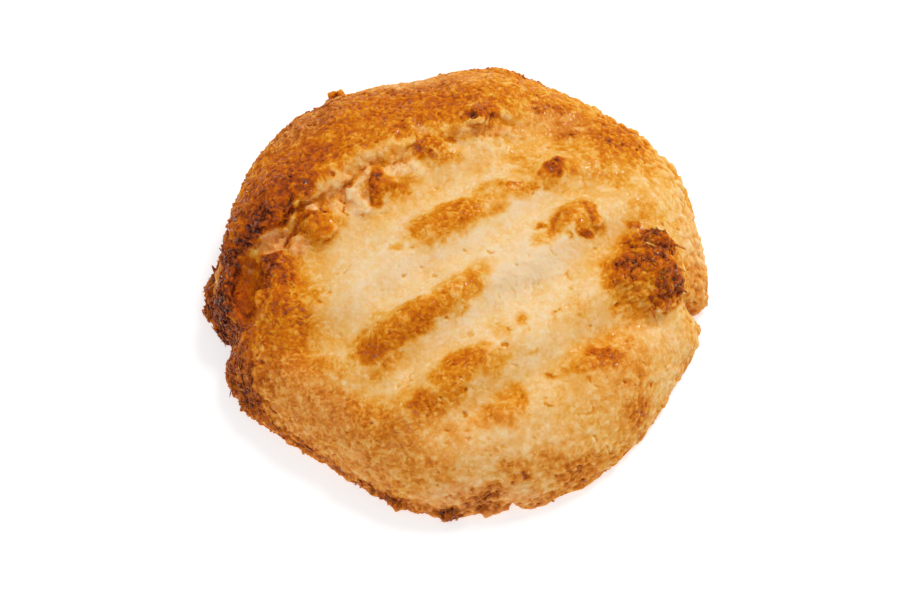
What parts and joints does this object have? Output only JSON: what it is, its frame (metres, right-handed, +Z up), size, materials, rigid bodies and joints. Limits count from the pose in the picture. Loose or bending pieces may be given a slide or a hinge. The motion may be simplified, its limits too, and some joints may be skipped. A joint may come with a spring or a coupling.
{
  "type": "coconut cookie",
  "caption": "Round low-domed baked coconut cookie with fork grooves, a torn raised lip and a browned crumbly crust, flat underneath.",
  "frame": {"origin": "middle of the flat underside, under the centre of the bounding box", "axes": "+Z up out of the fork-pressed top; +X towards the side with the burnt lump; +Y away from the viewer, towards the torn lip"},
  "size_m": [0.0504, 0.0488, 0.012],
  "materials": {
    "baked_dough": "matte toasted crumb, cream to dark brown"
  },
  "bodies": {
    "root": {"cookie": "baked_dough"}
  },
  "joints": []
}
